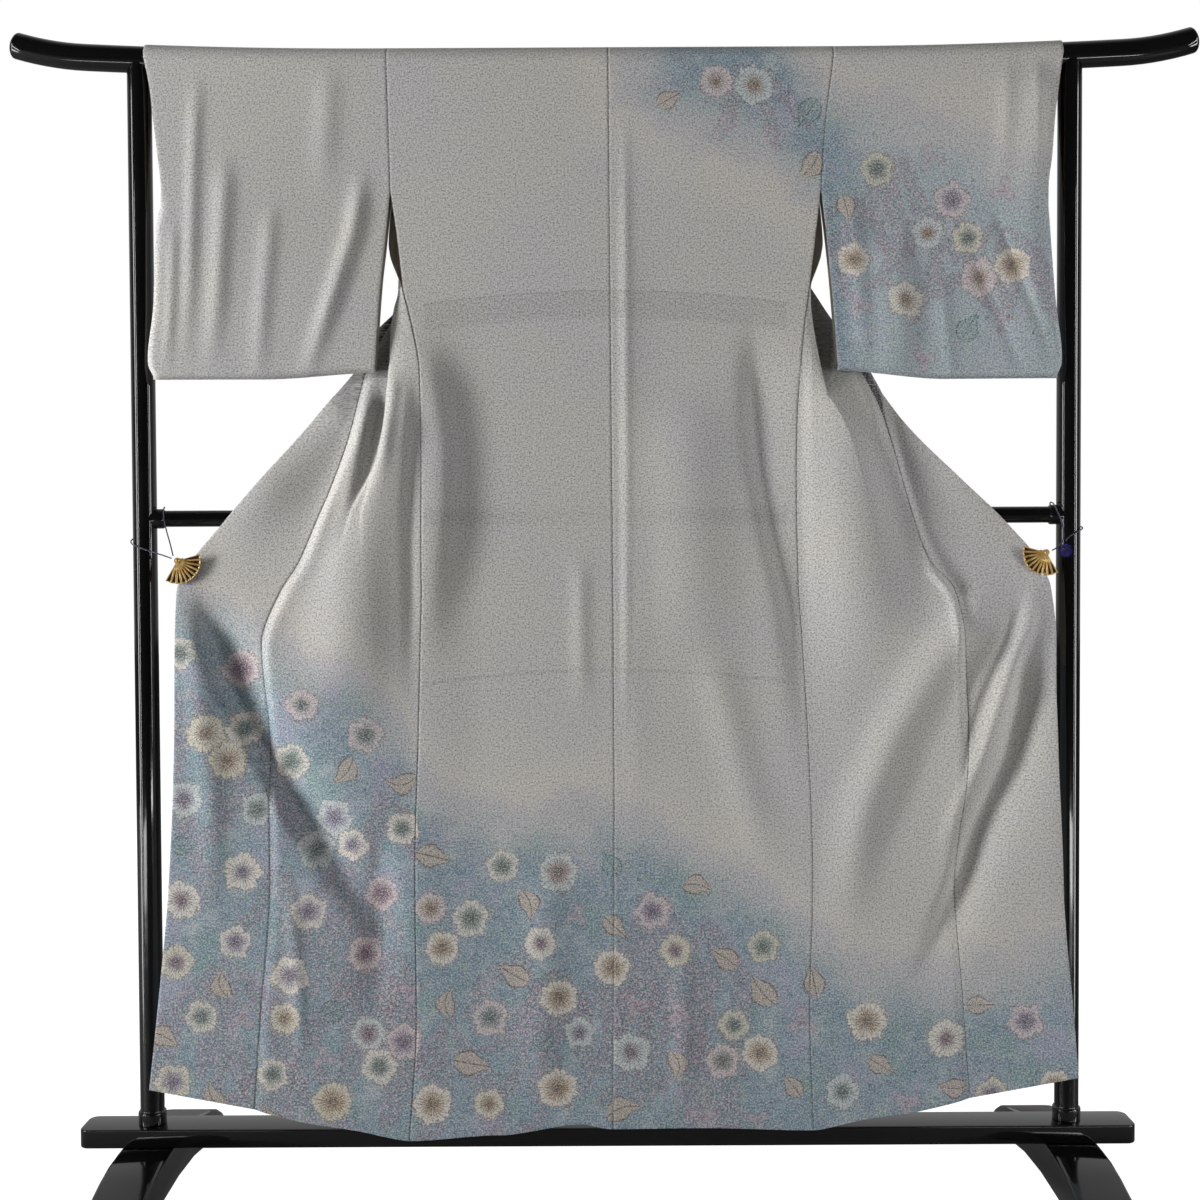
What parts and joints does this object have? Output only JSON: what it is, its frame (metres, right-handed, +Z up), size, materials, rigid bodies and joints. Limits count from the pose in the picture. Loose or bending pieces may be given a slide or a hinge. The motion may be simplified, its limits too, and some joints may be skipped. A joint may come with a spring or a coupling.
{
  "type": "silk kimono on a lacquered stand",
  "caption": "Lined silk kimono hung by its sleeves over a lacquered stand, back outwards, its fronts drawn out sideways by fan-shaped clips tied to the posts.",
  "frame": {"origin": "on the floor under the middle of the top rod, midway between the front and rear ends of the feet", "axes": "+X runs along the top rod, +Z is up, and the back of the kimono faces -Y"},
  "size_m": [1.7434, 0.598, 1.7372],
  "materials": {
    "silk": "crepe silk with a soft sheen",
    "lacquer": "wood under glossy black lacquer",
    "gold": "polished gilt metal",
    "cord": "twisted silk cord"
  },
  "bodies": {
    "root": {"top_rod": "lacquer", "post_left": "lacquer", "post_right": "lacquer", "cross_rail": "lacquer", "base_board": "lacquer", "foot_left": "lacquer", "foot_right": "lacquer", "back_left": "silk", "back_right": "silk", "front_left": "silk", "front_right": "silk", "overlap_left": "silk", "overlap_right": "silk", "sleeve_left": "silk", "sleeve_right": "silk", "collar": "silk", "clip_left": "gold", "clip_right": "gold", "tie_left": "cord", "tie_right": "cord", "tassel": "cord"}
  },
  "joints": []
}
